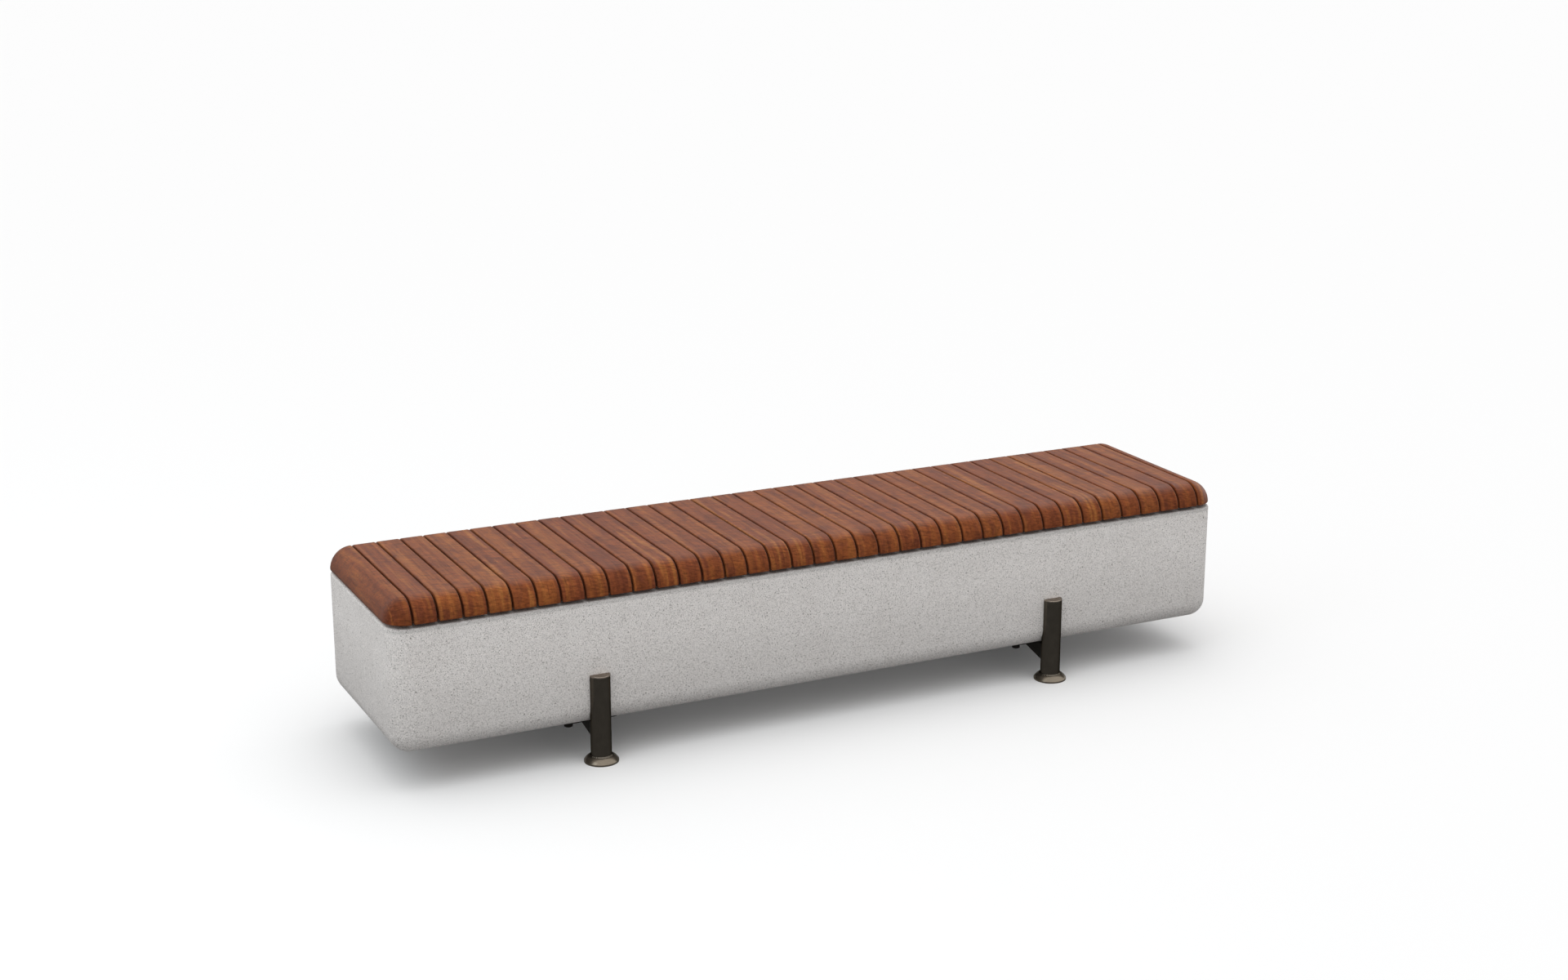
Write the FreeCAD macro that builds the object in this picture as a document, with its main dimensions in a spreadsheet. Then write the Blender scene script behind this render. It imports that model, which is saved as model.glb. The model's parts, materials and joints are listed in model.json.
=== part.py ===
import FreeCAD, Part
import math
import os
import Sketcher

# A backless street bench: hardwood slats on two steel rails, a precast concrete block,
# and two welded steel leg frames. X runs along the bench, Y from front (-) to back (+),
# and Z up from the ground. The origin is on the ground under the middle of the bench.

doc = FreeCAD.newDocument("Bench")

SIZES = {
    "slat_count": 38,
    "slat_width": 52,
    "slat_gap": 5,
    "slat_length": 500,
    "slat_thickness": 54,
    "slat_easing": 3,
    "seat_height": 445,
    "rail_thickness": 8,
    "rail_width": 50,
    "rail_spacing": 330,
    "rail_end_inset": 12,
    "block_height": 295,
    "block_rounding": 46,
    "block_arris": 6,
    "screw_shank": 6,
    "screw_recess": 2,
    "screw_head": 12,
    "screw_length": 45,
    "anchor_shank": 8,
    "anchor_head": 16,
    "anchor_length": 40,
    "anchor_key": 5,
    "anchor_key_depth": 3,
    "anchor_chamfer": 1,
    "anchor_clearance": 9,
    "anchor_columns": 5,
    "anchor_step": 456,
    "rail_socket_diameter": 14,
    "rail_socket_length": 45,
    "socket_floor": 3,
    "leg_spacing": 1200,
    "post_diameter": 48.3,
    "post_wall": 3.2,
    "post_top": 210,
    "cap_thickness": 3,
    "cap_easing": 1,
    "foot_diameter": 80,
    "foot_rim": 4,
    "foot_height": 15,
    "foot_shoulder": 57,
    "foot_dome": 30,
    "weld_leg": 4,
    "saddle_thickness": 8,
    "saddle_width": 140,
    "saddle_length": 400,
    "saddle_corner": 20,
    "stud_spacing_across": 84,
    "stud_spacing_along": 310,
    "stud_diameter": 12,
    "stud_anchorage": 80,
    "stud_below": 16,
    "stud_chamfer": 1,
    "stud_clearance": 13,
    "nut_across_flats": 19,
    "nut_height": 25,
    "nut_crown": 20,
    "nut_chamfer": 1,
    "nut_flange": 24,
    "nut_flange_rim": 2.5,
    "nut_bore_spare": 1,
    "web_thickness": 8,
    "web_depth_at_post": 50,
    "web_depth_middle": 14,
    "web_middle_length": 190,
}

sheet = doc.addObject("Spreadsheet::Sheet", "Sizes")
for row, (alias, size) in enumerate(SIZES.items(), start=1):
    sheet.set("A%d" % row, alias)
    sheet.set("B%d" % row, str(size))
    sheet.setAlias("B%d" % row, alias)
doc.recompute()

PITCH = "(Sizes.slat_width + Sizes.slat_gap)"
BENCH_LENGTH = "(Sizes.slat_count * %s - Sizes.slat_gap)" % PITCH
SLAT_BOTTOM = "(Sizes.seat_height - Sizes.slat_thickness)"
BLOCK_TOP = "(%s - Sizes.rail_thickness)" % SLAT_BOTTOM
BLOCK_BOTTOM = "(%s - Sizes.block_height)" % BLOCK_TOP
SADDLE_BOTTOM = "(%s - Sizes.saddle_thickness)" % BLOCK_BOTTOM
HALF_DEPTH = "(Sizes.slat_length / 2)"

SMOOTH_ANGLE = math.radians(20)
COUNTERSINK_ANGLE = 90
LEVEL = 0.01    # mm that a level edge may rise
UPRIGHT = 1     # mm that an upright edge rises at least
UP = FreeCAD.Vector(0, 0, 1)
PLAN, FRONT, SIDE = "XY_Plane", "XZ_Plane", "YZ_Plane"
parts = []


def vec(across, up):
    return FreeCAD.Vector(across, up, 0)


def new_body(label, x="0", y="0", z="0", turn=0):
    """A sub-part whose place is worked out from the sheet; turn is degrees about Z."""
    body = doc.addObject("PartDesign::Body", label)
    body.Label = label
    body.AllowCompound = True
    body.Placement.Rotation = FreeCAD.Rotation(UP, turn)
    body.setExpression("Placement.Base.x", x)
    body.setExpression("Placement.Base.y", y)
    body.setExpression("Placement.Base.z", z)
    parts.append(body)
    return body


def origin_item(body, role):
    return [item for item in body.Origin.OriginFeatures if item.Role == role][0]


def new_sketch(body, name, plane, offset="0"):
    """A sketch on one of the body's own origin planes, moved along the plane's normal."""
    sketch = body.newObject("Sketcher::SketchObject", name)
    sketch.AttachmentSupport = [(origin_item(body, plane), "")]
    sketch.MapMode = "FlatFace"
    sketch.setExpression("AttachmentOffset.Base.z", offset)
    return sketch


def fix(sketch, name, expression, kind, *refs):
    """Add a dimension and bind it to the sheet."""
    index = sketch.addConstraint(Sketcher.Constraint(kind, *refs))
    sketch.renameConstraint(index, name)
    sketch.setExpression("Constraints." + name, expression)


def link(sketch, kind, *refs):
    sketch.addConstraint(Sketcher.Constraint(kind, *refs))


def value(expression):
    """What an expression comes to, so that a sketch is drawn where it will be solved."""
    return float(sheet.evalExpression(expression))


def place_point(sketch, tag, geo, pos, across, up):
    """Hold a point at an offset from the sketch's origin."""
    for name, kind, axis, expression in (
        ("across", "DistanceX", -2, across),
        ("up", "DistanceY", -1, up),
    ):
        if value(expression) == 0:
            link(sketch, "PointOnObject", geo, pos, axis)
        else:
            fix(sketch, name + tag, expression, kind, -1, 1, geo, pos, value(expression))


def arc_between(start, end, radius):
    """A minor arc: anticlockwise from start to end if radius is positive, else clockwise."""
    chord = end - start
    reach = max(radius * radius - chord.Length ** 2 / 4, 0)
    inward = vec(-chord.y, chord.x)
    inward.normalize()
    centre = (start + end) * 0.5 + inward * math.copysign(math.sqrt(reach), radius)
    first, last = (start, end) if radius > 0 else (end, start)
    turn_from = math.atan2(first.y - centre.y, first.x - centre.x)
    turn_to = math.atan2(last.y - centre.y, last.x - centre.x)
    if turn_to <= turn_from:
        turn_to += 2 * math.pi
    circle = Part.Circle(centre, UP, abs(radius))
    return Part.ArcOfCircle(circle, turn_from, turn_to)


def outline(sketch, steps):
    """Close an outline through (across, up) points; a third item is the radius of an arc
    to the next point, with a minus sign if it turns clockwise."""
    places = [vec(value(step[0]), value(step[1])) for step in steps]
    starts = []
    ends = []
    for index, step in enumerate(steps):
        here, there = places[index], places[(index + 1) % len(steps)]
        if len(step) == 2:
            geo = sketch.addGeometry(Part.LineSegment(here, there))
            forward = True
        else:
            radius = value(step[2])
            geo = sketch.addGeometry(arc_between(here, there, radius))
            fix(sketch, "radius%d" % index, step[2].lstrip("-"), "Radius", geo, abs(radius))
            forward = radius > 0
        starts.append((geo, 1 if forward else 2))
        ends.append((geo, 2 if forward else 1))
    for index, step in enumerate(steps):
        link(sketch, "Coincident", *ends[index - 1], *starts[index])
        place_point(sketch, "%d" % index, *starts[index], step[0], step[1])


def circles(sketch, diameter, centres):
    for index, (across, up) in enumerate(centres):
        centre = vec(value(across), value(up))
        radius = value(diameter) / 2
        geo = sketch.addGeometry(Part.Circle(centre, UP, radius))
        fix(sketch, "diameter%d" % index, diameter, "Diameter", geo, 2 * radius)
        place_point(sketch, "c%d" % index, geo, 3, across, up)


def circle_inside(sketch, diameter):
    """A second circle about the sketch's origin, inside one that is already there."""
    radius = value(diameter) / 2
    geo = sketch.addGeometry(Part.Circle(vec(0, 0), UP, radius))
    fix(sketch, "inner", diameter, "Diameter", geo, 2 * radius)
    link(sketch, "Coincident", geo, 3, -1, 1)


def pad(body, sketch, length, both_ways=False):
    feature = body.newObject("PartDesign::Pad", sketch.Name + "Pad")
    feature.Profile = sketch
    feature.SideType = "Symmetric" if both_ways else "One side"
    feature.setExpression("Length", length)
    doc.recompute()
    return feature


def pocket(body, sketch, depth, both_ways=False, upwards=False):
    """Cut a sketch out of the body, and make sure that something was cut."""
    before = body.Shape.Volume
    feature = body.newObject("PartDesign::Pocket", sketch.Name + "Pocket")
    feature.Profile = sketch
    feature.SideType = "Symmetric" if both_ways else "One side"
    feature.Reversed = upwards
    feature.setExpression("Length", depth)
    doc.recompute()
    if body.Shape.Volume >= before:
        raise RuntimeError("nothing was cut by " + feature.Name)
    return feature


def revolve(body, sketch, angle=360, other_way=False):
    feature = body.newObject("PartDesign::Revolution", sketch.Name + "Turned")
    feature.Profile = sketch
    feature.ReferenceAxis = (sketch, ["V_Axis"])
    feature.Angle = angle
    feature.Reversed = other_way
    doc.recompute()
    return feature


def grid(body, features, along, count, across=None, across_count="1"):
    """Repeat features along X, and along Y too where across is given. With no features it
    is the whole body that repeats."""
    pattern = body.newObject("PartDesign::LinearPattern", body.Label + "Grid")
    pattern.Originals = features
    pattern.TransformMode = "Features" if features else "Whole shape"
    pattern.Direction = (origin_item(body, "X_Axis"), [""])
    pattern.setExpression("Length", along)
    pattern.setExpression("Occurrences", count)
    if across:
        pattern.Direction2 = (origin_item(body, "Y_Axis"), [""])
        pattern.setExpression("Length2", across)
        pattern.setExpression("Occurrences2", across_count)
    body.Tip = pattern
    doc.recompute()
    return pattern


def is_sharp(shape, edge):
    """True where the two faces beside an edge meet at an angle."""
    faces = shape.ancestorsOfType(edge, Part.Face)
    if len(faces) < 2:
        return False
    middle = edge.valueAt((edge.FirstParameter + edge.LastParameter) / 2)
    normals = []
    for face in faces[:2]:
        u, v = face.Surface.parameter(middle)
        normals.append(face.normalAt(u, v))
    return normals[0].getAngle(normals[1]) > SMOOTH_ANGLE


def edge_names(shape, wanted):
    return ["Edge%d" % n for n, edge in enumerate(shape.Edges, start=1) if wanted(shape, edge)]


def fillet(body, radius, wanted=is_sharp):
    base = body.Tip
    feature = body.newObject("PartDesign::Fillet", body.Label + "Fillet")
    feature.Base = (base, edge_names(base.Shape, wanted))
    feature.setExpression("Radius", radius)
    doc.recompute()
    return feature


def pilot_holes(body, across):
    """Two holes up into a slat from below, each filled by its screw's shank."""
    sketch = new_sketch(body, body.Label + "Pilots", PLAN)
    rails = ("-Sizes.rail_spacing / 2", "Sizes.rail_spacing / 2")
    circles(sketch, "Sizes.screw_shank", [(across, along) for along in rails])
    pocket(body, sketch, "Sizes.screw_length - Sizes.rail_thickness", upwards=True)


def slat(number):
    """A middle slat. Both ends are quarter rounds of the full thickness, and every other
    edge is eased."""
    thick = "Sizes.slat_thickness"
    place = "-%s / 2 + Sizes.slat_width / 2 + %d * %s" % (BENCH_LENGTH, number - 1, PITCH)
    body = new_body("slat_%02d" % number, x=place, z=SLAT_BOTTOM)
    profile = new_sketch(body, body.Label + "Profile", SIDE)
    outline(profile, [
        ("-" + HALF_DEPTH, "0"),
        (HALF_DEPTH, "0", thick),
        (HALF_DEPTH + " - " + thick, thick),
        ("-" + HALF_DEPTH + " + " + thick, thick, thick),
    ])
    pad(body, profile, "Sizes.slat_width", both_ways=True)
    fillet(body, "Sizes.slat_easing")
    pilot_holes(body, "0")


def end_slat(label, side):
    """An end slat, whose outer edge and corners are rounded as its ends are. Its own origin
    is under its inner edge, and side is -1 at the left end and 1 at the right."""
    thick = "Sizes.slat_thickness"
    place = "%d * (%s / 2 - Sizes.slat_width)" % (side, BENCH_LENGTH)
    body = new_body(label, x=place, z=SLAT_BOTTOM, turn=0 if side < 0 else 180)
    quarter = [("-" + thick, "0"), ("0", "0"), ("0", thick, thick)]
    straight = new_sketch(body, label + "Quarter", FRONT)
    outline(straight, quarter)
    pad(body, straight, "Sizes.slat_length - 2 * " + thick, both_ways=True)
    for end in (1, -1):
        offset = "%d * (%s - %s)" % (end, HALF_DEPTH, thick)
        corner = new_sketch(body, label + ("Front" if end > 0 else "Back"), FRONT, offset)
        outline(corner, quarter)
        revolve(body, corner, angle=90, other_way=end < 0)
    fillet(body, "Sizes.slat_easing")
    pilot_holes(body, "-Sizes.slat_width / 2")


def is_upright(shape, edge):
    return edge.BoundBox.ZLength > UPRIGHT


def is_upright_or_low(shape, edge):
    return is_upright(shape, edge) or edge.BoundBox.ZMax < LEVEL


def is_on_top(shape, edge):
    """True for a level edge round the top. Edges are taken to be level within LEVEL."""
    box = edge.BoundBox
    return box.ZMin > shape.BoundBox.ZMax - LEVEL and box.ZLength < LEVEL


def concrete_block():
    """The precast block: upright and lower edges well rounded, an arris round the top, and
    a hole for each cast-in socket and stud."""
    body = new_body("concrete_block", z=BLOCK_BOTTOM)
    half_long = "(%s / 2)" % BENCH_LENGTH
    plan = new_sketch(body, "BlockPlan", PLAN)
    outline(plan, [
        ("-" + half_long, "-" + HALF_DEPTH),
        (half_long, "-" + HALF_DEPTH),
        (half_long, HALF_DEPTH),
        ("-" + half_long, HALF_DEPTH),
    ])
    pad(body, plan, "Sizes.block_height")
    fillet(body, "Sizes.block_rounding", is_upright_or_low)
    fillet(body, "Sizes.block_arris", is_on_top)

    top = new_sketch(body, "BlockTopHole", PLAN, "Sizes.block_height")
    first_anchor = ("-(Sizes.anchor_columns - 1) / 2 * Sizes.anchor_step", "-Sizes.rail_spacing / 2")
    circles(top, "Sizes.rail_socket_diameter", [first_anchor])
    hole = pocket(body, top, "Sizes.rail_socket_length")
    grid(
        body, [hole], "(Sizes.anchor_columns - 1) * Sizes.anchor_step", "Sizes.anchor_columns",
        "Sizes.rail_spacing", "2",
    )

    under = new_sketch(body, "BlockUnderHoles", PLAN)
    pair = [
        ("-Sizes.leg_spacing / 2 %s Sizes.stud_spacing_across / 2" % sign,
         "-Sizes.stud_spacing_along / 2")
        for sign in "-+"
    ]
    circles(under, "Sizes.stud_diameter", pair)
    hole = pocket(body, under, "Sizes.stud_anchorage", upwards=True)
    grid(body, [hole], "Sizes.leg_spacing", "2", "Sizes.stud_spacing_along", "2")


def rail(label, side):
    """A flat bar under the slats, countersunk from below for the slat screws and from above
    for the screws that hold it down."""
    body = new_body(label, y="%d * Sizes.rail_spacing / 2" % side, z=BLOCK_TOP)
    half_long = "(%s / 2 - Sizes.rail_end_inset)" % BENCH_LENGTH
    half_wide = "(Sizes.rail_width / 2)"
    plan = new_sketch(body, label + "Plan", PLAN)
    outline(plan, [
        ("-" + half_long, "-" + half_wide),
        (half_long, "-" + half_wide),
        (half_long, half_wide),
        ("-" + half_long, half_wide),
    ])
    pad(body, plan, "Sizes.rail_thickness")

    below = new_sketch(body, label + "ScrewPlace", PLAN)
    circles(below, "Sizes.screw_shank", [("-%s / 2 + Sizes.slat_width / 2" % BENCH_LENGTH, "0")])
    hole = countersunk_hole(body, below, "Sizes.screw_shank", "Sizes.screw_head", upwards=True)
    grid(body, [hole], "(Sizes.slat_count - 1) * " + PITCH, "Sizes.slat_count")

    above = new_sketch(body, label + "AnchorPlace", PLAN, "Sizes.rail_thickness")
    first_anchor = ("-(Sizes.anchor_columns - 1) / 2 * Sizes.anchor_step", "0")
    circles(above, "Sizes.anchor_clearance", [first_anchor])
    hole = countersunk_hole(body, above, "Sizes.anchor_clearance", "Sizes.anchor_head")
    grid(
        body, [hole], "(Sizes.anchor_columns - 1) * Sizes.anchor_step", "Sizes.anchor_columns",
    )


def countersunk_hole(body, sketch, diameter, head, upwards=False):
    before = body.Shape.Volume
    hole = body.newObject("PartDesign::Hole", sketch.Name + "Hole")
    hole.Profile = sketch
    hole.Reversed = upwards
    doc.recompute()
    hole.DepthType = "ThroughAll"
    hole.HoleCutType = "Countersink"
    hole.HoleCutCustomValues = True
    hole.HoleCutCountersinkAngle = COUNTERSINK_ANGLE
    hole.setExpression("Diameter", diameter)
    hole.setExpression("HoleCutDiameter", head)
    doc.recompute()
    if body.Shape.Volume >= before:
        raise RuntimeError("nothing was cut by " + hole.Name)
    return hole


def turned_group(label, profile, x, y, z, along, count, across):
    """A group of the same turned pieces, in two rows. The first stands at x, y, z."""
    body = new_body(label, x=x, y=y, z=z)
    sketch = new_sketch(body, label + "Profile", FRONT)
    outline(sketch, profile)
    first = revolve(body, sketch)
    grid(body, [first], along, count, across, "2")


def slat_screws():
    """Wood screws, heads down in the rails and points up in the slats."""
    shank = "Sizes.screw_shank / 2"
    head = "Sizes.screw_head / 2"
    point = "Sizes.screw_length - " + shank
    turned_group(
        "slat_screws",
        [
            ("0", "Sizes.screw_recess"),
            ("Sizes.screw_recess", "0"),
            (head, "0"),
            (shank, "%s - %s" % (head, shank)),
            (shank, point),
            ("0", "Sizes.screw_length"),
        ],
        "-%s / 2 + Sizes.slat_width / 2" % BENCH_LENGTH, "-Sizes.rail_spacing / 2", BLOCK_TOP,
        "(Sizes.slat_count - 1) * " + PITCH, "Sizes.slat_count", "Sizes.rail_spacing",
    )


def rail_anchors():
    """Countersunk screws under the slat gaps, and the sockets that they screw into."""
    first_x = "-(Sizes.anchor_columns - 1) / 2 * Sizes.anchor_step"
    first_y = "-Sizes.rail_spacing / 2"
    along = "(Sizes.anchor_columns - 1) * Sizes.anchor_step"
    shank = "Sizes.anchor_shank / 2"
    head = "Sizes.anchor_head / 2"
    key = "Sizes.anchor_key / 2"
    end = "-Sizes.anchor_length"
    chamfer = "Sizes.anchor_chamfer"
    turned_group(
        "rail_anchor_screws",
        [
            ("0", end),
            ("%s - %s" % (shank, chamfer), end),
            (shank, "%s + %s" % (end, chamfer)),
            (shank, "%s - %s" % (shank, head)),
            (head, "0"),
            (key, "0"),
            (key, "-Sizes.anchor_key_depth"),
            ("0", "-Sizes.anchor_key_depth"),
        ],
        first_x, first_y, SLAT_BOTTOM, along, "Sizes.anchor_columns", "Sizes.rail_spacing",
    )
    outer = "Sizes.rail_socket_diameter / 2"
    depth = "-Sizes.rail_socket_length"
    turned_group(
        "rail_sockets",
        [
            ("0", depth),
            (outer, depth),
            (outer, "0"),
            (shank, "0"),
            (shank, depth + " + Sizes.socket_floor"),
            ("0", depth + " + Sizes.socket_floor"),
        ],
        first_x, first_y, BLOCK_TOP, along, "Sizes.anchor_columns", "Sizes.rail_spacing",
    )


def saddle_place(label, z):
    """A body that starts at the middle of the left leg frame's front pair of studs."""
    return new_body(label, x="-Sizes.leg_spacing / 2", y="-Sizes.stud_spacing_along / 2", z=z)


def saddle_pair(body, profile):
    """The same turned piece at both studs of a pair. Gives each one's place along X."""
    places = []
    for side, sign in (("Left", "-"), ("Right", "")):
        sketch = new_sketch(body, body.Label + side, FRONT)
        place = sign + "Sizes.stud_spacing_across / 2"
        sketch.setExpression("AttachmentOffset.Base.x", place)
        outline(sketch, profile)
        revolve(body, sketch)
        places.append(place)
    return places


def saddle_studs():
    """Threaded studs cast into the block, down through the saddle plates."""
    shank = "Sizes.stud_diameter / 2"
    top = "Sizes.saddle_thickness + Sizes.stud_anchorage"
    body = saddle_place("saddle_studs", SADDLE_BOTTOM)
    saddle_pair(body, [
        ("0", "-Sizes.stud_below"),
        (shank + " - Sizes.stud_chamfer", "-Sizes.stud_below"),
        (shank, "-Sizes.stud_below + Sizes.stud_chamfer"),
        (shank, top),
        ("0", top),
    ])
    grid(body, [], "Sizes.leg_spacing", "2", "Sizes.stud_spacing_along", "2")


def saddle_nuts():
    """Flanged nuts with a low crown, closed below. Each is turned first and then given its
    six flats."""
    shank = "Sizes.stud_diameter / 2"
    flats = "Sizes.nut_across_flats"
    corner = flats + " / sqrt(3)"
    flange = "Sizes.nut_flange / 2"
    rim = "-Sizes.nut_flange_rim"
    bottom = "-Sizes.nut_height"
    shoulder = "%s + Sizes.nut_crown - sqrt(Sizes.nut_crown ^ 2 - (%s / 2) ^ 2)" % (bottom, flats)
    bore = "-Sizes.stud_below - Sizes.nut_bore_spare"
    body = saddle_place("saddle_nuts", SADDLE_BOTTOM)
    places = saddle_pair(body, [
        ("0", bottom, "Sizes.nut_crown"),
        (flats + " / 2", shoulder),
        (corner, shoulder + " + Sizes.nut_chamfer"),
        (corner, rim),
        (flange, rim),
        (flange, "0"),
        (shank, "0"),
        (shank, bore),
        ("0", bore),
    ])
    for index, place in enumerate(places):
        around = new_sketch(body, "NutFlats%d" % index, PLAN, rim)
        circles(around, "Sizes.nut_flange", [(place, "0")])
        outline(around, [
            ("%s %s %s" % (place, sign, reach), up)
            for sign, reach, up in (
                ("+", corner, "0"),
                ("+", corner + " / 2", flats + " / 2"),
                ("-", corner + " / 2", flats + " / 2"),
                ("-", corner, "0"),
                ("-", corner + " / 2", "-%s / 2" % flats),
                ("+", corner + " / 2", "-%s / 2" % flats),
            )
        ])
        pocket(body, around, "Sizes.nut_height - Sizes.nut_flange_rim")
    grid(body, [], "Sizes.leg_spacing", "2", "Sizes.stud_spacing_along", "2")


def leg_place(side, end):
    """Where a leg stands on the ground: side -1 is left, end -1 is front. The half of the
    leg that bears on the block always points to the middle of the bench."""
    return {
        "x": "%d * Sizes.leg_spacing / 2" % side,
        "y": "%d * %s" % (end, HALF_DEPTH),
        "turn": 0 if end < 0 else 180,
    }


def leg_post(label, side, end):
    """A tube that stands on its foot. Its upper back half is coped to the block's face and
    to the rounding under it."""
    body = new_body(label, **leg_place(side, end))
    ring = new_sketch(body, label + "Ring", PLAN, "Sizes.foot_height")
    circles(ring, "Sizes.post_diameter", [("0", "0")])
    circle_inside(ring, "Sizes.post_diameter - 2 * Sizes.post_wall")
    pad(body, ring, "Sizes.post_top - Sizes.cap_thickness - Sizes.foot_height")
    cope = new_sketch(body, label + "Cope", SIDE)
    rounding = "Sizes.block_rounding"
    outline(cope, [
        ("0", "Sizes.post_top"),
        ("0", "%s + %s" % (BLOCK_BOTTOM, rounding), rounding),
        (rounding, BLOCK_BOTTOM),
        ("2 * " + rounding, BLOCK_BOTTOM),
        ("2 * " + rounding, "Sizes.post_top"),
    ])
    pocket(body, cope, "2 * Sizes.post_diameter", both_ways=True)


def leg_caps():
    """A half-round plate closes the top of each post. They are one group."""
    body = new_body("leg_caps")
    radius = "(Sizes.post_diameter / 2)"
    left = "-Sizes.leg_spacing / 2"
    for end, edge in ((-1, "-" + HALF_DEPTH), (1, HALF_DEPTH)):
        sketch = new_sketch(
            body, "Cap" + ("Front" if end < 0 else "Back"), PLAN,
            "Sizes.post_top - Sizes.cap_thickness",
        )
        first, last = ("-", "+") if end < 0 else ("+", "-")
        outline(sketch, [
            ("%s %s %s" % (left, first, radius), edge, radius),
            ("%s %s %s" % (left, last, radius), edge),
        ])
        pad(body, sketch, "Sizes.cap_thickness")
    fillet(body, "Sizes.cap_easing", is_cap_rim)
    grid(body, [], "Sizes.leg_spacing", "2")


def is_cap_rim(shape, edge):
    return is_on_top(shape, edge) and edge.Curve.TypeId == "Part::GeomCircle"


def foot_disc(label, side, end):
    """A turned foot: a thin upright rim, then a domed shoulder up to a flat for the post."""
    body = new_body(label, **leg_place(side, end))
    sketch = new_sketch(body, label + "Profile", FRONT)
    rim = "Sizes.foot_diameter / 2"
    outline(sketch, [
        ("0", "0"),
        (rim, "0"),
        (rim, "Sizes.foot_rim", "Sizes.foot_dome"),
        ("Sizes.foot_shoulder / 2", "Sizes.foot_height"),
        ("0", "Sizes.foot_height"),
    ])
    revolve(body, sketch)


def foot_welds():
    """The fillet weld round the bottom of each post."""
    post = "Sizes.post_diameter / 2"
    turned_group(
        "foot_welds",
        [
            (post, "Sizes.foot_height"),
            (post + " + Sizes.weld_leg", "Sizes.foot_height"),
            (post, "Sizes.foot_height + Sizes.weld_leg"),
        ],
        "-Sizes.leg_spacing / 2", "-" + HALF_DEPTH, "0",
        "Sizes.leg_spacing", "2", "2 * " + HALF_DEPTH,
    )


def saddle_plate(label, side):
    """The plate that the block rests on, between the front leg and the rear leg."""
    body = new_body(label, x="%d * Sizes.leg_spacing / 2" % side, z=SADDLE_BOTTOM)
    half_wide = "(Sizes.saddle_width / 2)"
    half_long = "(Sizes.saddle_length / 2)"
    plan = new_sketch(body, label + "Plan", PLAN)
    outline(plan, [
        ("-" + half_wide, "-" + half_long),
        (half_wide, "-" + half_long),
        (half_wide, half_long),
        ("-" + half_wide, half_long),
    ])
    pad(body, plan, "Sizes.saddle_thickness")
    fillet(body, "Sizes.saddle_corner", is_upright)
    place = new_sketch(body, label + "BoltPlace", PLAN)
    centre = ("-Sizes.stud_spacing_across / 2", "-Sizes.stud_spacing_along / 2")
    circles(place, "Sizes.stud_clearance", [centre])
    hole = pocket(body, place, "Sizes.saddle_thickness", upwards=True)
    grid(body, [hole], "Sizes.stud_spacing_across", "2", "Sizes.stud_spacing_along", "2")


def leg_web(label, side):
    """A plate on edge under the saddle, deep at each post and shallow in the middle. Its
    ends are coped to the posts."""
    body = new_body(label, x="%d * Sizes.leg_spacing / 2" % side)
    middle = "(Sizes.web_middle_length / 2)"
    at_post = SADDLE_BOTTOM + " - Sizes.web_depth_at_post"
    at_middle = SADDLE_BOTTOM + " - Sizes.web_depth_middle"
    profile = new_sketch(body, label + "Profile", SIDE)
    outline(profile, [
        ("-" + HALF_DEPTH, SADDLE_BOTTOM),
        ("-" + HALF_DEPTH, at_post),
        ("-" + middle, at_middle),
        (middle, at_middle),
        (HALF_DEPTH, at_post),
        (HALF_DEPTH, SADDLE_BOTTOM),
    ])
    pad(body, profile, "Sizes.web_thickness", both_ways=True)
    ends = new_sketch(body, label + "Ends", PLAN)
    circles(ends, "Sizes.post_diameter", [("0", "-" + HALF_DEPTH), ("0", HALF_DEPTH)])
    pocket(body, ends, SADDLE_BOTTOM, upwards=True)


def check_and_write():
    """Stop on anything that failed, then write one file for each sub-part."""
    doc.recompute()
    for item in doc.Objects:
        if "Invalid" in item.State or "Error" in item.State:
            raise RuntimeError("%s is %s" % (item.Label, item.State))
    for body in parts:
        if body.Shape.isNull() or not body.Shape.isValid():
            raise RuntimeError(body.Label + " has no valid shape")
    os.makedirs("parts", exist_ok=True)
    for body in parts:
        body.Shape.exportStep("parts/%s.step" % body.Label)


end_slat("end_slat_left", -1)
for number in range(2, int(sheet.slat_count)):
    slat(number)
end_slat("end_slat_right", 1)
concrete_block()
rail("deck_rail_front", -1)
rail("deck_rail_rear", 1)
slat_screws()
rail_anchors()
for side, side_name in ((-1, "left"), (1, "right")):
    saddle_plate("saddle_plate_" + side_name, side)
    leg_web("leg_web_" + side_name, side)
    for end, end_name in ((-1, "front"), (1, "rear")):
        leg_post("leg_post_%s_%s" % (end_name, side_name), side, end)
        foot_disc("foot_disc_%s_%s" % (end_name, side_name), side, end)
leg_caps()
foot_welds()
saddle_studs()
saddle_nuts()
check_and_write()
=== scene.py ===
import json
import math
import random

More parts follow.
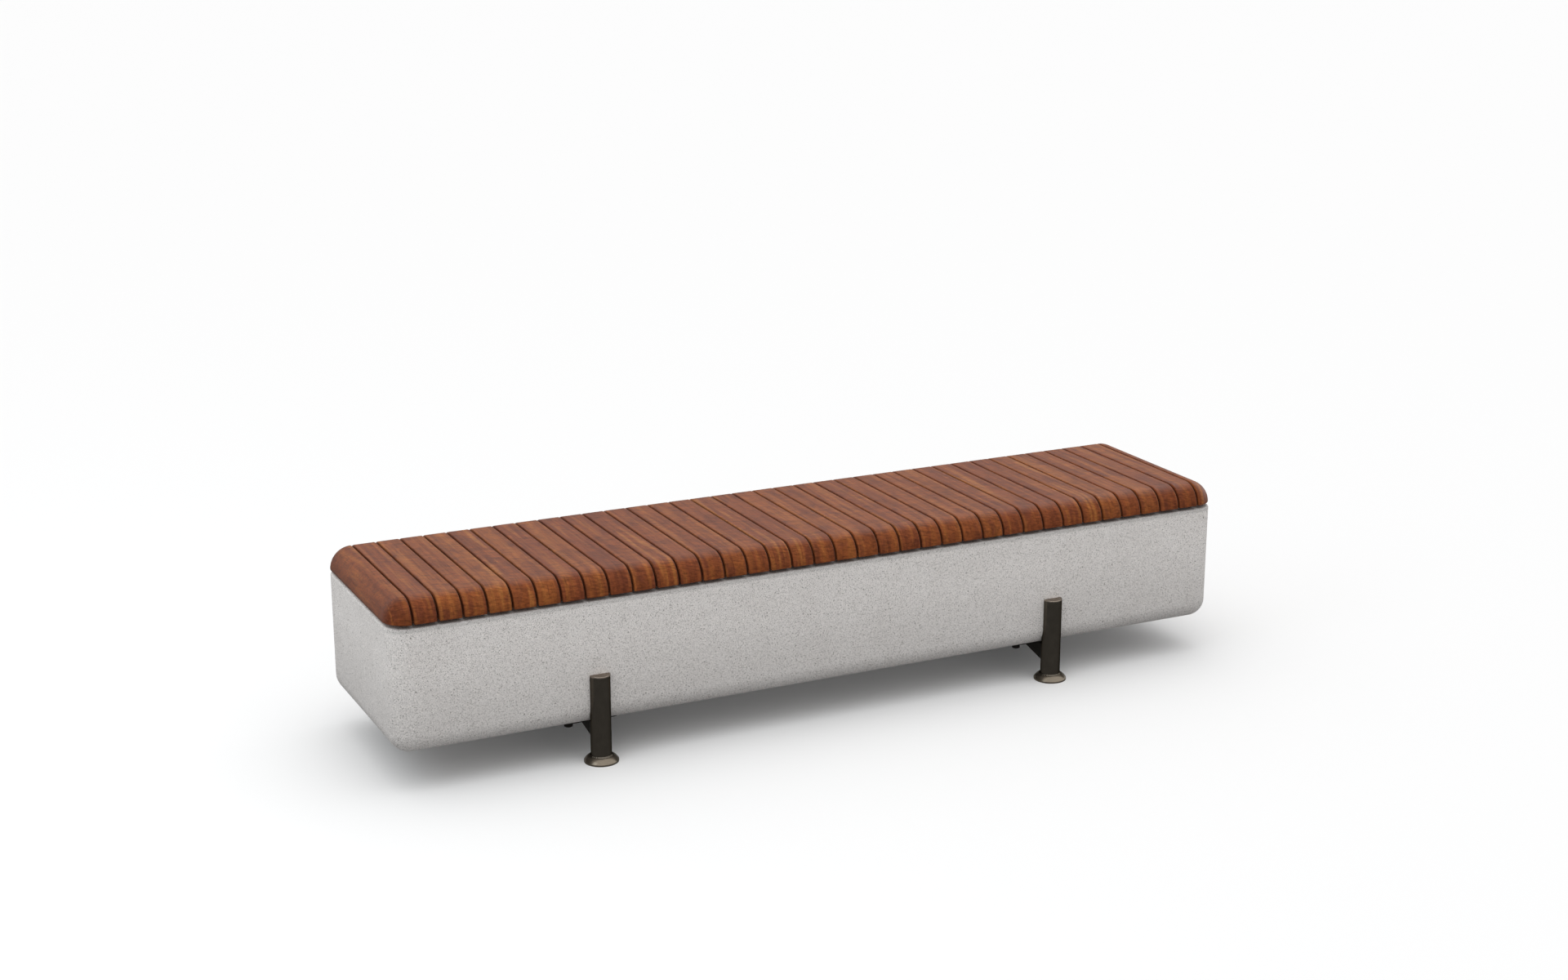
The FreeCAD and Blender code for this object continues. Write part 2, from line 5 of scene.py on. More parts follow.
import bmesh
import bpy
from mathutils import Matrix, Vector


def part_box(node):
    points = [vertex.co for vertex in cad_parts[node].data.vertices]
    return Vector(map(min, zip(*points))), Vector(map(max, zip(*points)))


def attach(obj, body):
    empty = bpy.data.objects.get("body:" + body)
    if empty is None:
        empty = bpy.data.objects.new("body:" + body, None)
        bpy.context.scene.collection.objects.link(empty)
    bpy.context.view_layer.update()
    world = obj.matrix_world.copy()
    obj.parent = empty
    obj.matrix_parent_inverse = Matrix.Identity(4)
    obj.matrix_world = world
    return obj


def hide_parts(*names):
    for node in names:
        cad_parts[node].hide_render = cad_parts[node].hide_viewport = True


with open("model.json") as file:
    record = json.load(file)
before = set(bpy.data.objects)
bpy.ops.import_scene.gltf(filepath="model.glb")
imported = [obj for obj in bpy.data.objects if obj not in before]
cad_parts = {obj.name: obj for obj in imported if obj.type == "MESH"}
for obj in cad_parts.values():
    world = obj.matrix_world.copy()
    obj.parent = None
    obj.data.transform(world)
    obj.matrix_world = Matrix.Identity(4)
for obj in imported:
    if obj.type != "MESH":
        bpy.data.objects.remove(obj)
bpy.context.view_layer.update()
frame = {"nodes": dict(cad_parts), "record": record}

# Everything is in metres, in the row frame: X along the bench, -Y to the front, Z up.
MM = 0.001
WHITE = (1, 1, 1, 1)

# The sky's strength as light: below the horizon, above it, and what the zenith adds.
SKY_BELOW = 0.24
SKY_HORIZON = 0.62
SKY_ZENITH = 1.42
SKY_POWER = 4.0
# The sky's strength as gloss sees it: in the half that GLOSS_SIDE points to, and in the other.
GLOSS_BRIGHT = 1.35
GLOSS_DIM = 0.40
GLOSS_SIDE = (0.460, -0.790, 0.406)
# Half the height of the soft step between two parts of the sky, for a direction of length 1.
SKY_EDGE = 0.02

# The floor's tone and glow to the camera, and its tone to every other ray.
FLOOR_SEEN = (0.865, 0.865, 0.865)
FLOOR_GLOW = 0.035
FLOOR_BOUNCE = (0.36, 0.36, 0.36)
FLOOR_REACH = 60.0

# A worn edge: its samples, and how far the rounded normal agrees with the plain one on a
# flat face and at a sharp edge.
EDGE_SAMPLES = 6
EDGE_FLAT = 0.98
EDGE_SHARP = 0.75

# A Mix node's sockets for two numbers, and for two colours and their result.
NUMBER_A, NUMBER_B = 2, 3
COLOUR_A, COLOUR_B, COLOUR_OUT = 6, 7, 2

NODES = frame["nodes"]
SLATS = sorted(
    (name for name in NODES if "slat" in name and "screw" not in name),
    key=lambda name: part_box(name)[0].x,
)
LEGS = [(end, side) for side in ("left", "right") for end in ("front", "rear")]


def centre(node):
    low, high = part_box(node)
    return (low + high) / 2


SLAT_LOW, SLAT_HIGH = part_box(SLATS[1])
SLAT_PITCH = centre(SLATS[2]).x - centre(SLATS[1]).x
SLAT_WIDTH = SLAT_HIGH.x - SLAT_LOW.x
SLAT_THICKNESS = SLAT_HIGH.z - SLAT_LOW.z
HALF_DEPTH = SLAT_HIGH.y


# ---------------------------------------------------------------- node trees


class Nodes:
    """Short ways of adding nodes to a tree. A value is a socket or a number."""

    def __init__(self, tree):
        self.tree = tree

    def put(self, socket, value):
        if isinstance(value, bpy.types.NodeSocket):
            self.tree.links.new(value, socket)
        else:
            socket.default_value = value

    def math(self, operation, *values, clamp=False):
        node = self.tree.nodes.new("ShaderNodeMath")
        node.operation = operation
        node.use_clamp = clamp
        for socket, value in zip(node.inputs, values):
            self.put(socket, value)
        return node.outputs[0]

    def vector(self, operation, *values):
        node = self.tree.nodes.new("ShaderNodeVectorMath")
        node.operation = operation
        for socket, value in zip(node.inputs, values):
            self.put(socket, value)
        return node.outputs[0]

    def dot(self, first, second):
        node = self.tree.nodes.new("ShaderNodeVectorMath")
        node.operation = "DOT_PRODUCT"
        self.put(node.inputs[0], first)
        self.put(node.inputs[1], second)
        return node.outputs["Value"]

    def blend(self, share, first, second):
        """A number between two others."""
        node = self.tree.nodes.new("ShaderNodeMix")
        self.put(node.inputs[0], share)
        self.put(node.inputs[NUMBER_A], first)
        self.put(node.inputs[NUMBER_B], second)
        return node.outputs[0]

    def split(self, vector):
        node = self.tree.nodes.new("ShaderNodeSeparateXYZ")
        self.put(node.inputs[0], vector)
        return node.outputs

    def join(self, x, y, z):
        node = self.tree.nodes.new("ShaderNodeCombineXYZ")
        for socket, value in zip(node.inputs, (x, y, z)):
            self.put(socket, value)
        return node.outputs[0]

    def noise(self, place, scale, detail=3.0, roughness=0.55, distortion=0.0):
        """A value about 0.5, with features of about 1 / scale metres."""
        node = self.tree.nodes.new("ShaderNodeTexNoise")
        self.put(node.inputs["Vector"], place)
        self.put(node.inputs["Scale"], scale)
        self.put(node.inputs["Detail"], detail)
        self.put(node.inputs["Roughness"], roughness)
        self.put(node.inputs["Distortion"], distortion)
        return node.outputs["Fac"]

    def cells(self, place, scale):
        """The distance from the middle of the nearest cell, and the cell's random colour."""
        node = self.tree.nodes.new("ShaderNodeTexVoronoi")
        self.put(node.inputs["Vector"], place)
        self.put(node.inputs["Scale"], scale)
        return node.outputs["Distance"], node.outputs["Color"]

    def chance(self, number):
        """Three random numbers that depend on a number."""
        node = self.tree.nodes.new("ShaderNodeTexWhiteNoise")
        node.noise_dimensions = "1D"
        self.put(node.inputs["W"], number)
        return self.split(node.outputs["Color"])

    def remap(self, value, low, high, to_low=0.0, to_high=1.0):
        """Stretch low..high to to_low..to_high, and stop at the ends."""
        node = self.tree.nodes.new("ShaderNodeMapRange")
        for socket, item in zip(node.inputs, (value, low, high, to_low, to_high)):
            self.put(socket, item)
        return node.outputs[0]

    def ramp(self, value, *stops):
        """Colours between (position, colour) stops."""
        node = self.tree.nodes.new("ShaderNodeValToRGB")
        elements = node.color_ramp.elements
        while len(elements) < len(stops):
            elements.new(0.5)
        for element, (position, colour) in zip(elements, stops):
            element.position = position
            element.color = (*colour, 1)
        self.put(node.inputs[0], value)
        return node.outputs[0]

    def mix(self, share, first, second, blend="MIX"):
        """A colour between two others."""
        node = self.tree.nodes.new("ShaderNodeMix")
        node.data_type = "RGBA"
        node.blend_type = blend
        self.put(node.inputs["Factor"], share)
        for number, value in ((COLOUR_A, first), (COLOUR_B, second)):
            self.put(node.inputs[number], (*value, 1) if isinstance(value, tuple) else value)
        return node.outputs[COLOUR_OUT]

    def shade(self, colour, factor):
        """Colour times a factor."""
        return self.mix(1.0, colour, self.join(factor, factor, factor), "MULTIPLY")

    def bump(self, height, depth, normal=None):
        """Raise the surface by height times depth in metres."""
        node = self.tree.nodes.new("ShaderNodeBump")
        self.put(node.inputs["Height"], height)
        self.put(node.inputs["Distance"], depth)
        if normal is not None:
            self.put(node.inputs["Normal"], normal)
        return node.outputs[0]

    def worn_edge(self, radius):
        """0 on a flat or gently curved face, up to 1 within radius of a sharp edge."""
        bevel = self.tree.nodes.new("ShaderNodeBevel")
        bevel.samples = EDGE_SAMPLES
        self.put(bevel.inputs["Radius"], radius)
        plain = self.tree.nodes.new("ShaderNodeNewGeometry").outputs["Normal"]
        return self.remap(self.dot(bevel.outputs[0], plain), EDGE_FLAT, EDGE_SHARP)


class Paint(Nodes):
    """One material, its Principled shader, and the place on the object."""

    def __init__(self, name):
        self.material = bpy.data.materials.new(name)
        self.material.use_nodes = True
        super().__init__(self.material.node_tree)
        self.shader = self.tree.nodes["Principled BSDF"]
        self.place = self.tree.nodes.new("ShaderNodeTexCoord").outputs["Object"]

    def set(self, **sockets):
        for name, value in sockets.items():
            self.put(self.shader.inputs[name.replace("_", " ")], value)


# The tones of the boards, and the colours that mark them.
BOARD_TONES = (
    (0.0, (0.214, 0.057, 0.021)),
    (0.35, (0.240, 0.066, 0.021)),
    (0.7, (0.258, 0.074, 0.022)),
    (1.0, (0.284, 0.087, 0.024)),
)
DARK_CLOUD = (0.140, 0.038, 0.020)
PALE_BAND = (0.345, 0.116, 0.030)
DARK_BAND = (0.145, 0.038, 0.016)
DARK_STREAK = (0.110, 0.029, 0.015)
PALE_STRIPE = (0.385, 0.150, 0.042)
RUBBED_WOOD = (0.36, 0.13, 0.045)


def hardwood():
    """Oiled tropical hardwood. Every slat is cut from its own board, so its tone and its
    streaks are its own, and the streaks run along Y and straight down the rounded ends."""
    p = Paint("slat_hardwood")
    x, y, z = p.split(p.place)
    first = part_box(SLATS[0])[0].x - (SLAT_PITCH - SLAT_WIDTH) / 2
    along = p.math("DIVIDE", p.math("SUBTRACT", x, first), SLAT_PITCH)
    index = p.math("FLOOR", along)
    tone, pale, shift = p.chance(p.math("ADD", index, 11.0))
    board = p.join(
        p.math("MULTIPLY", shift, 7.0), p.math("MULTIPLY", tone, 5.0), p.math("MULTIPLY", pale, 3.0)
    )
    own = p.vector("ADD", p.place, board)

    def drawn_out(stretch, scale, **shape):
        """Noise drawn out along the board: stretch scales it in X, Y and Z."""
        return p.noise(p.vector("MULTIPLY", own, stretch), scale, **shape)

    band = drawn_out((1.0, 0.05, 0.07), 75.0, detail=2.0, roughness=0.5, distortion=0.25)
    streak = drawn_out((1.0, 0.05, 0.07), 240.0, detail=4.0, roughness=0.6, distortion=0.4)
    fibre = drawn_out((1.0, 0.03, 0.06), 1100.0, detail=3.0, roughness=0.6)
    cloud = drawn_out((1.0, 0.45, 0.6), 34.0, detail=3.0, roughness=0.55, distortion=0.5)
    slanted = p.join(x, p.math("ADD", y, p.math("MULTIPLY", x, 0.35)), z)
    skew = p.vector("MULTIPLY", slanted, (0.16, 1.0, 1.0))
    skew = p.vector("ADD", skew, board)
    ripple = p.noise(skew, 210.0, detail=3.0, roughness=0.7, distortion=0.5)
    pores = drawn_out((1.0, 0.07, 0.25), 1900.0, detail=2.0, roughness=0.5)

    colour = p.ramp(tone, *BOARD_TONES)
    colour = p.mix(p.remap(cloud, 0.52, 0.34, 0.0, 0.65), colour, DARK_CLOUD)
    colour = p.mix(p.remap(band, 0.52, 0.66, 0.0, 0.60), colour, PALE_BAND)
    colour = p.mix(p.remap(band, 0.48, 0.36, 0.0, 0.55), colour, DARK_BAND)
    colour = p.mix(p.remap(streak, 0.56, 0.72, 0.0, 0.60), colour, DARK_STREAK)
    pale_board = p.remap(pale, 0.55, 0.70)
    stripe = p.math("MULTIPLY", pale_board, p.remap(band, 0.57, 0.66, 0.0, 0.40))
    colour = p.mix(stripe, colour, PALE_STRIPE)
    grain = p.math(
        "MULTIPLY", p.remap(ripple, 0.34, 0.66, 0.66, 1.34), p.remap(fibre, 0.3, 0.7, 0.86, 1.14)
    )
    colour = p.shade(colour, p.math("MULTIPLY", grain, p.remap(pores, 0.66, 0.74, 1.0, 0.62)))

    # In pitches: the distance from the slat's middle line, and that of its sides.
    across = p.math("ABSOLUTE", p.math("SUBTRACT", p.math("FRACT", along), 0.5))
    half = 0.5 * SLAT_WIDTH / SLAT_PITCH
    # Painted shade: the slats' sides, in the gaps between them, are darkened.
    gap_shade = p.remap(across, half - 0.010, half - 0.001, 1.0, 0.55)
    rub = p.math(
        "MULTIPLY",
        p.remap(across, half - 0.11, half - 0.05),
        p.remap(across, half - 0.02, half - 0.04),
    )
    rubbed = p.math("MULTIPLY", rub, p.remap(cloud, 0.42, 0.60, 0.0, 0.12))
    colour = p.mix(rubbed, p.shade(colour, gap_shade), RUBBED_WOOD)

    end_grain = p.remap(
        p.math("ABSOLUTE", y),
        HALF_DEPTH - SLAT_THICKNESS,
        HALF_DEPTH - 0.3 * SLAT_THICKNESS,
    )
    colour = p.shade(colour, p.remap(end_grain, 0.0, 1.0, 1.0, 0.90))

    rough = p.math(
        "ADD", p.remap(streak, 0.3, 0.7, 0.42, 0.54), p.remap(ripple, 0.3, 0.7, -0.04, 0.06)
    )
    height = p.math(
        "ADD", p.math("MULTIPLY", fibre, 0.5), p.math("MULTIPLY", p.remap(pores, 0.64, 0.74), -0.9)
    )
    height = p.math("ADD", height, p.math("MULTIPLY", ripple, 0.8))
    glance = p.tree.nodes.new("ShaderNodeLayerWeight").outputs["Facing"]
    p.set(
        Base_Color=colour,
        Roughness=rough,
        Specular_IOR_Level=p.remap(glance, 0.25, 0.62, 0.06, 0.60),
        Normal=p.bump(height, 0.25 * MM),
    )
    return p.material


# Cells per metre, the share of cells with a grain, its reach in cells, and its darkness.
SPECKS = ((620.0, 0.55, 0.58, 0.60), (360.0, 0.27, 0.50, 0.90), (150.0, 0.11, 0.28, 0.95))
GRAIN_COLOUR = (0.082, 0.062, 0.048)
# Heights above the block's lowest point, between which its painted shade near the ground turns to
# painted light higher up.
HEIGHT_SHADE_LOW, HEIGHT_SHADE_HIGH = 0.02, 0.21
HEIGHT_SHADE_DARK, HEIGHT_SHADE_LIGHT = 0.86, 1.09
# Depths below the block's top, between which a line of painted shade under the slats grows to its
# full strength.
SLAT_SHADE_LOW, SLAT_SHADE_HIGH, SLAT_SHADE_STRENGTH = 0.0115, 0.003, 0.38
# Distances in from the long faces, between which the painted shade under the slats grows to its full
# strength.
SLAT_SHADE_INNER, SLAT_SHADE_OUTER = 0.046, 0.010


def cast_concrete():
    """Smooth acid-etched concrete: a warm light grey with fine dark grains, a few larger
    ones, tiny voids and a faint cloudiness. Painted shade darkens it near the ground and
    painted light brightens it higher up, and a line of painted shade lies along the top of
    its long faces, under the slats."""
    p = Paint("cast_concrete")
    warm = p.noise(p.place, 3.2, detail=4.0, roughness=0.6, distortion=0.4)
    cloud = p.noise(p.place, 21.0, detail=4.0, roughness=0.6)
    grit = p.noise(p.place, 420.0, detail=4.0, roughness=0.8)
    colour = p.ramp(
        p.math("ADD", p.math("MULTIPLY", warm, 0.5), p.math("MULTIPLY", cloud, 0.5)),
        (0.3, (0.820, 0.784, 0.758)),
        (0.5, (0.862, 0.828, 0.803)),
        (0.7, (0.900, 0.868, 0.845)),
    )
    patches = p.noise(p.place, 170.0, detail=3.0, roughness=0.7)
    colour = p.shade(colour, p.remap(grit, 0.35, 0.65, 0.66, 1.22))
    colour = p.shade(colour, p.remap(patches, 0.32, 0.68, 0.94, 1.05))

    jog = p.noise(p.place, 620.0, detail=2.0)
    step = p.vector("MULTIPLY", p.join(jog, grit, jog), (0.003, 0.003, 0.003))
    wander = p.vector("ADD", p.place, step)
    marks = 0.0
    for scale, share, radius, depth in SPECKS:
        distance, kind = p.cells(wander, scale)
        chosen, size, tone = p.split(kind)
        reach = p.math("MULTIPLY", p.remap(size, 0.0, 1.0, 0.45, 1.0), radius)
        inside = p.remap(p.math("DIVIDE", distance, reach), 1.0, 0.75)
        grain = p.math("MULTIPLY", inside, p.math("LESS_THAN", chosen, share))
        strength = p.math("MULTIPLY", grain, p.remap(tone, 0.0, 1.0, depth * 0.45, depth))
        marks = p.math("MAXIMUM", marks, strength)
    colour = p.mix(marks, colour, GRAIN_COLOUR)

    distance, kind = p.cells(wander, 85.0)
    chosen, size, _ = p.split(kind)
    pit = p.math(
        "MULTIPLY",
        p.remap(p.math("DIVIDE", distance, p.remap(size, 0.0, 1.0, 0.04, 0.13)), 1.0, 0.6),
        p.math("LESS_THAN", chosen, 0.22),
    )
    colour = p.shade(colour, p.remap(pit, 0.0, 1.0, 1.0, 0.72))

    low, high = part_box("concrete_block")
    _, across, rise = p.split(p.place)
    # Painted shade and light: darker near the ground and lighter higher up, as light falls on the
    # faces.
    height_shade = p.remap(
        rise, low.z + HEIGHT_SHADE_LOW, low.z + HEIGHT_SHADE_HIGH, HEIGHT_SHADE_DARK, HEIGHT_SHADE_LIGHT
    )
    # Painted shade: a soft dark line at the top of the long faces, under the slats' overhang.
    long_face = p.remap(
        p.math("ABSOLUTE", across), high.y - SLAT_SHADE_INNER, high.y - SLAT_SHADE_OUTER
    )
    under_slats = p.remap(
        rise, high.z - SLAT_SHADE_LOW, high.z - SLAT_SHADE_HIGH, 0.0, SLAT_SHADE_STRENGTH
    )
    slat_shade = p.math("MULTIPLY", long_face, under_slats)
    colour = p.shade(colour, p.math("MULTIPLY", height_shade, p.math("SUBTRACT", 1.0, slat_shade)))
    height = p.math("SUBTRACT", p.math("MULTIPLY", grit, 0.35), p.math("MULTIPLY", pit, 1.6))
    p.set(
        Base_Color=colour,
        Roughness=p.remap(cloud, 0.3, 0.7, 0.70, 0.86),
        Normal=p.bump(height, 0.35 * MM),
    )
    return p.material


def powder_coat(name, tint, metallic, rough, level=0.5, grazing=1.0):
    """Powder coat over steel: fine orange peel, a faint mottle, and a paler rub on the
    sharp edges. Its roughness wanders between the two of rough, level is its gloss, and
    grazing is what is left of that at a low angle."""
    p = Paint(name)
    peel = p.noise(p.place, 900.0, detail=2.0, roughness=0.5)
    mottle = p.noise(p.place, 60.0, detail=4.0, roughness=0.65)
    fleck = p.noise(p.place, 4200.0, detail=1.0, roughness=0.5)
    dark, pale = (tuple(share * part for part in tint) for share in (0.90, 1.10))
    colour = p.ramp(mottle, (0.3, dark), (0.5, tint), (0.7, pale))
    colour = p.shade(colour, p.remap(fleck, 0.35, 0.7, 0.90, 1.20))
    rub = p.math("MULTIPLY", p.worn_edge(0.7 * MM), p.remap(mottle, 0.42, 0.62, 0.05, 0.40))
    colour = p.mix(rub, colour, tuple(1.9 * part for part in tint))
    p.set(
        Base_Color=colour,
        Metallic=metallic,
        Roughness=p.remap(mottle, 0.3, 0.7, *rough),
        Specular_IOR_Level=level,
        Specular_Tint=(grazing, grazing, grazing, 1),
        Normal=p.bump(peel, 0.03 * MM),
    )
    return p.material


def bare_steel(name, tint, rough, grain):
    """Unpainted steel with a patchy tone and fine scratches. Its roughness wanders between
    the two of rough, and grain scales the scratches in X, Y and Z."""
    p = Paint(name)
    stretched = p.vector("MULTIPLY", p.place, grain)
    scratch = p.noise(stretched, 1500.0, detail=3.0, roughness=0.6)
    _, kind = p.cells(p.place, 95.0)
    patch = p.split(kind)[0]
    colour = p.mix(p.remap(patch, 0.0, 1.0, 0.0, 0.35), tint, tuple(0.62 * part for part in tint))
    colour = p.shade(colour, p.remap(scratch, 0.3, 0.7, 0.86, 1.10))
    p.set(
        Base_Color=colour,
        Metallic=1.0,
        Roughness=p.remap(scratch, 0.3, 0.7, *rough),
        Normal=p.bump(scratch, 0.03 * MM),
    )
    return p.material


def plain_floor():
    """A matt pale floor. It is seen as white, throws back less light than it shows, and has a
    faint glow of its own that opens up the deep shadow."""
    p = Paint("studio_floor")
    seen = p.tree.nodes.new("ShaderNodeLightPath").outputs["Is Camera Ray"]
    p.set(
        Base_Color=p.mix(seen, FLOOR_BOUNCE, FLOOR_SEEN),
        Roughness=1.0,
        Specular_IOR_Level=0.0,
        Emission_Color=WHITE,
        Emission_Strength=p.math("MULTIPLY", seen, FLOOR_GLOW),
    )
    return p.material


LOOKS = {
    "slat_wood": hardwood(),
    "concrete": cast_concrete(),
    "leg_steel": powder_coat(
        "bronze_powder_coat", (0.108, 0.094, 0.076), metallic=1.0, rough=(0.18, 0.26), grazing=0.30
    ),
    "rail_steel": bare_steel(
        "galvanised_steel", (0.46, 0.47, 0.48), rough=(0.38, 0.58), grain=(0.2, 1.0, 1.0)
    ),
    "fastener_steel": bare_steel(
        "stainless_steel", (0.60, 0.59, 0.57), rough=(0.24, 0.38), grain=(1.0, 1.0, 0.15)
    ),
}

# Copies of the leg steel's coat within its slot: lighter ones on the caps and feet stand for painted
# light and painted reflection, and a dark one on the parts under the seat stands for painted shade.
# Painted reflection: the caps' coat is lighter than the posts' to stand for the light their tops
# catch.
CAP_STEEL_PAINTED_LIGHT = powder_coat(
    "bronze_cap_painted_light", (0.345, 0.292, 0.245), metallic=1.0, rough=(0.22, 0.30), grazing=0.60
)
# Painted shade: a dark, matt copy of the coat for the nuts, webs and plates under the seat.
UNDER_STEEL_PAINTED_SHADE = powder_coat(
    "bronze_painted_shade", (0.024, 0.021, 0.018), metallic=0.0, rough=(0.62, 0.74), level=0.08
)
# Painted reflection: the feet's coat is lighter than the posts' to stand for the light their domed
# tops reflect.
FOOT_STEEL_PAINTED_LIGHT = powder_coat(
    "bronze_foot_painted_light", (0.185, 0.156, 0.121), metallic=0.85, rough=(0.20, 0.26), grazing=0.60
)
OWN_LOOKS = {"leg_caps": CAP_STEEL_PAINTED_LIGHT, "saddle_nuts": UNDER_STEEL_PAINTED_SHADE}
OWN_LOOKS.update(("foot_disc_%s_%s" % leg, FOOT_STEEL_PAINTED_LIGHT) for leg in LEGS)
for side in ("left", "right"):
    OWN_LOOKS["leg_web_" + side] = UNDER_STEEL_PAINTED_SHADE
    OWN_LOOKS["saddle_plate_" + side] = UNDER_STEEL_PAINTED_SHADE


def dress(thing, material):
    """Give a thing one material all over."""
    thing.data.materials.clear()
    thing.data.materials.append(material)


for part in frame["record"]["subparts"]:
    dress(NODES[part["node"]], OWN_LOOKS.get(part["node"], LOOKS[part["material_slot"]]))


# ---------------------------------------------------------------- pieces


def add_piece(name, mesh, slot, *nodes):
    """A new piece that stands for CAD nodes."""
    for face in mesh.polygons:
        face.use_smooth = True
    thing = bpy.data.objects.new(name, mesh)
    bpy.context.scene.collection.objects.link(thing)
    dress(thing, LOOKS[slot])
    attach(thing, "root")
    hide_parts(*nodes)


def ring_grid(mesh, rings):
    """Join rings of points, each with as many points, into a skin of quads that closes on
    itself both ways."""
    rows = [[mesh.verts.new(point) for point in ring] for ring in rings]
    for low, high in zip(rows, rows[1:] + rows[:1]):
        for i in range(len(low)):
            j = (i + 1) % len(low)
            mesh.faces.new((low[i], low[j], high[j], high[i]))


WELD_SEED = 41
WELD_RIPPLES = 30
STEPS_PER_RIPPLE = 6
SMALLEST_RIPPLE = 0.86
# A ripple's height in its valleys, what its crest adds, and the power that fills it out.
RIPPLE_VALLEY, RIPPLE_CREST, RIPPLE_POWER = 0.70, 0.30, 0.6
# The points on a section's face, and how far the face is hollowed.
FACE_POINTS = 9
FACE_HOLLOW = 0.20
# The section's back, in leg lengths: its depth in the post, its height, and its foot.
BACK_DEPTH, BACK_HEIGHT, BACK_SINK = 0.15, 0.9, 0.05


def weld_section(leg, swell, part):
    """A slice of the weld as (distance from the post, height), a share part of the way
    along a ripple."""
    height = leg * swell * (RIPPLE_VALLEY + RIPPLE_CREST * math.sin(math.pi * part) ** RIPPLE_POWER)
    section = []
    for corner in range(FACE_POINTS):
        lean = math.radians(90.0 * corner / (FACE_POINTS - 1))
        hollow = 1.0 - FACE_HOLLOW * math.sin(2 * lean)
        section.append((height * hollow * math.cos(lean), height * hollow * math.sin(lean)))
    section.append((-BACK_DEPTH * leg, leg * BACK_HEIGHT * swell * RIPPLE_VALLEY))
    section.append((-BACK_DEPTH * leg, -BACK_SINK * leg))
    return section


def weld_bead(mesh, spot, radius, leg, chance):
    """A hand-laid fillet weld round a post: ripples of even length and uneven height."""
    steps = WELD_RIPPLES * STEPS_PER_RIPPLE
    swells = [chance.uniform(SMALLEST_RIPPLE, 1.0) for _ in range(WELD_RIPPLES)]
    start = chance.uniform(0.0, 1.0)
    sections = []
    for step in range(steps):
        turn = step / steps
        ripple = (turn + start / WELD_RIPPLES) * WELD_RIPPLES
        section = weld_section(leg, swells[int(ripple) % WELD_RIPPLES], ripple % 1.0)
        angle = 2 * math.pi * turn
        sections.append([
            spot + Vector(((radius + away) * math.cos(angle), (radius + away) * math.sin(angle), up))
            for away, up in section
        ])
    ring_grid(mesh, sections)


def foot_weld_rings():
    """The four welds between the posts and their feet, in one piece."""
    chance = random.Random(WELD_SEED)
    low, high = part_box("foot_welds")
    mesh = bmesh.new()
    for leg in LEGS:
        disc = "foot_disc_%s_%s" % leg
        middle = centre(disc)
        post_low, post_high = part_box("leg_post_%s_%s" % leg)
        spot = Vector((middle.x, middle.y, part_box(disc)[1].z))
        radius = (post_high.x - post_low.x) / 2
        weld_bead(mesh, spot, radius, high.z - low.z, chance)
    bmesh.ops.recalc_face_normals(mesh, faces=mesh.faces)
    data = bpy.data.meshes.new("foot_weld_beads")
    mesh.to_mesh(data)
    mesh.free()
    add_piece("foot_weld_beads", data, "leg_steel", "foot_welds")


foot_weld_rings()


# ---------------------------------------------------------------- stage


def floor_plane():
    mesh = bpy.data.meshes.new("studio_floor")
    corners = [
        (x * FLOOR_REACH, y * FLOOR_REACH, 0) for x, y in ((-1, -1), (1, -1), (1, 1), (-1, 1))
    ]
    mesh.from_pydata(corners, [], [(0, 1, 2, 3)])
    mesh.materials.append(plain_floor())
    floor = bpy.data.objects.new("studio_floor", mesh)
    floor.visible_glossy = False
    bpy.context.scene.collection.objects.link(floor)


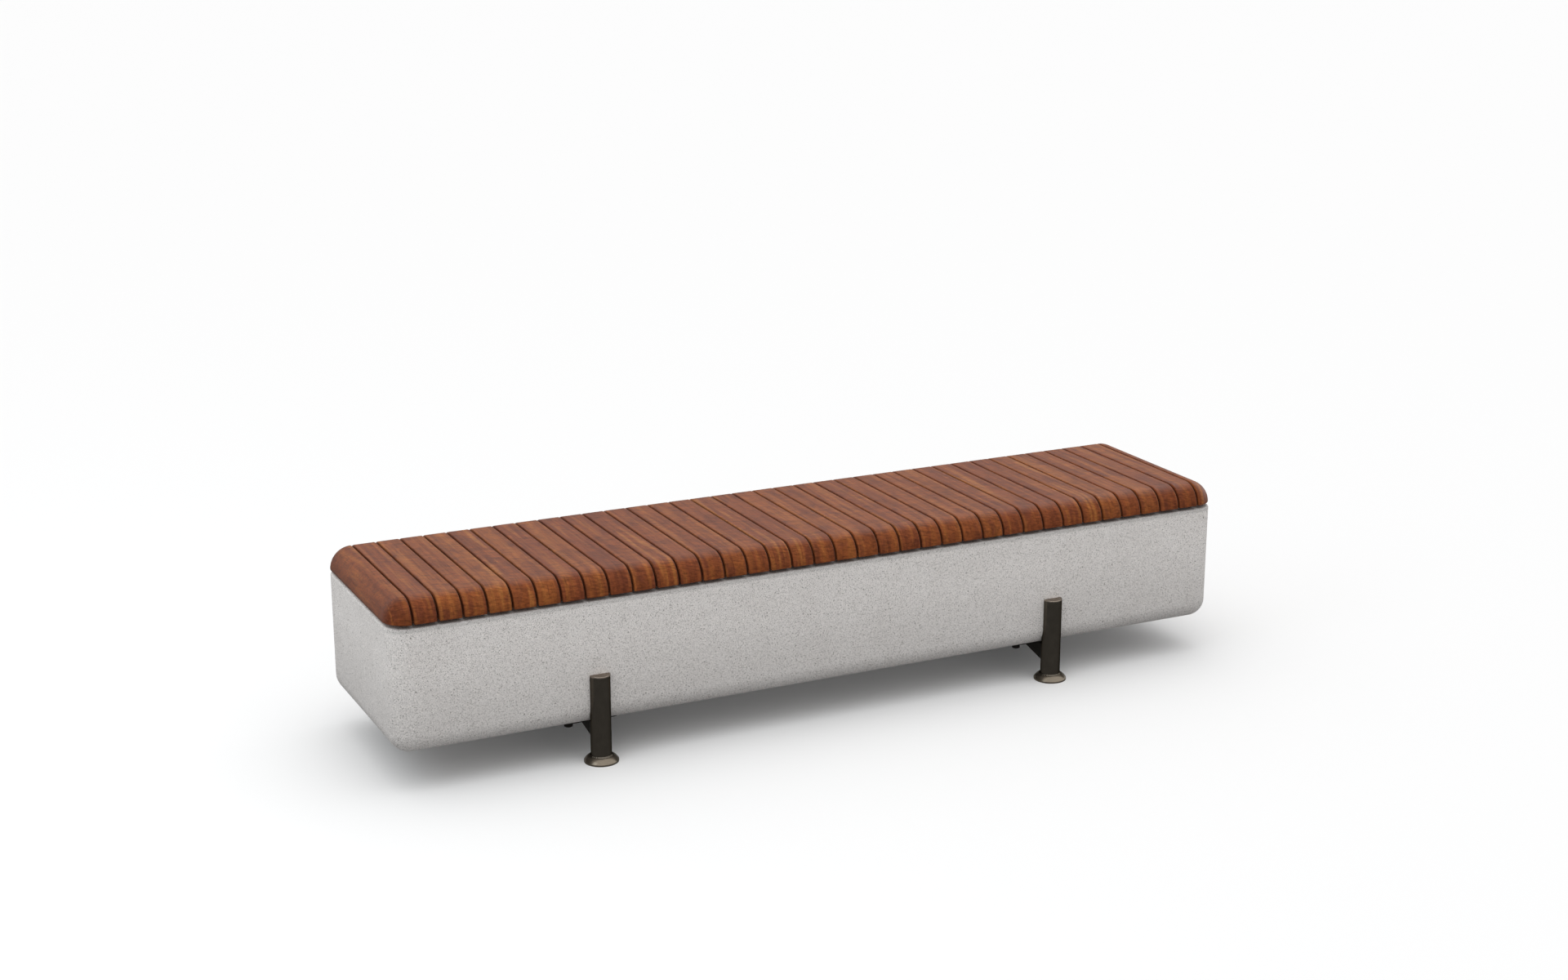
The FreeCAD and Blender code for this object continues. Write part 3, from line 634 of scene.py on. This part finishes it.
def sky():
    """Bright overhead and dim at the horizon. The camera sees a plain white backdrop in its
    place, and gloss sees one half of it bright and the other dim."""
    world = bpy.data.worlds.new("studio_sky")
    bpy.context.scene.world = world
    world.use_nodes = True
    n = Nodes(world.node_tree)
    n.tree.nodes.clear()
    way = n.tree.nodes.new("ShaderNodeTexCoord").outputs["Generated"]
    rise = n.split(way)["Z"]
    steep = n.math("POWER", n.math("MAXIMUM", rise, 0.0), SKY_POWER)
    overhead = n.math("MULTIPLY", steep, SKY_ZENITH)
    level = n.math("ADD", n.remap(rise, -SKY_EDGE, SKY_EDGE, SKY_BELOW, SKY_HORIZON), overhead)
    panel = n.remap(n.dot(way, GLOSS_SIDE), -SKY_EDGE, SKY_EDGE, GLOSS_DIM, GLOSS_BRIGHT)
    shine = n.blend(n.remap(rise, -SKY_EDGE, SKY_EDGE), SKY_BELOW, panel)
    ray = n.tree.nodes.new("ShaderNodeLightPath")
    level = n.blend(ray.outputs["Is Glossy Ray"], level, shine)
    light = n.tree.nodes.new("ShaderNodeBackground")
    n.put(light.inputs["Strength"], level)
    light.inputs["Color"].default_value = WHITE
    backdrop = n.tree.nodes.new("ShaderNodeBackground")
    backdrop.inputs["Color"].default_value = WHITE
    seen = ray.outputs["Is Camera Ray"]
    choose = n.tree.nodes.new("ShaderNodeMixShader")
    for socket, value in zip(choose.inputs, (seen, light.outputs[0], backdrop.outputs[0])):
        n.put(socket, value)
    output = n.tree.nodes.new("ShaderNodeOutputWorld")
    n.put(output.inputs["Surface"], choose.outputs[0])


def softbox(name, place, aim, size, power, colour):
    """A rectangular light of a power in watts, at place and turned towards aim."""
    light = bpy.data.lights.new(name, "AREA")
    light.shape = "RECTANGLE"
    light.size, light.size_y = size
    light.energy = power
    light.color = colour
    lamp = bpy.data.objects.new(name, light)
    lamp.location = place
    lamp.rotation_euler = (Vector(aim) - Vector(place)).to_track_quat("-Z", "Y").to_euler()
    lamp.visible_camera = False
    bpy.context.scene.collection.objects.link(lamp)


def camera():
    """A view from the front left, from well above the seat."""
    data = bpy.data.cameras.new("camera")
    data.sensor_width = 36.0
    data.lens = 54.22
    data.clip_start, data.clip_end = 0.05, 200.0
    eye = bpy.data.objects.new("camera", data)
    eye.location = (-2.4277, -4.9148, 2.0871)
    eye.rotation_euler = (math.radians(73.847), 0.0, math.radians(-26.150))
    bpy.context.scene.collection.objects.link(eye)
    bpy.context.scene.camera = eye


floor_plane()
sky()
softbox(
    "softbox_left",
    place=(-3.2, -0.6, 2.4),
    aim=(-0.6, 0.0, 0.3),
    size=(2.0, 1.6),
    power=10.0,
    colour=(0.82, 0.94, 1.0),
)
camera()
bpy.context.scene.view_settings.view_transform = "Standard"
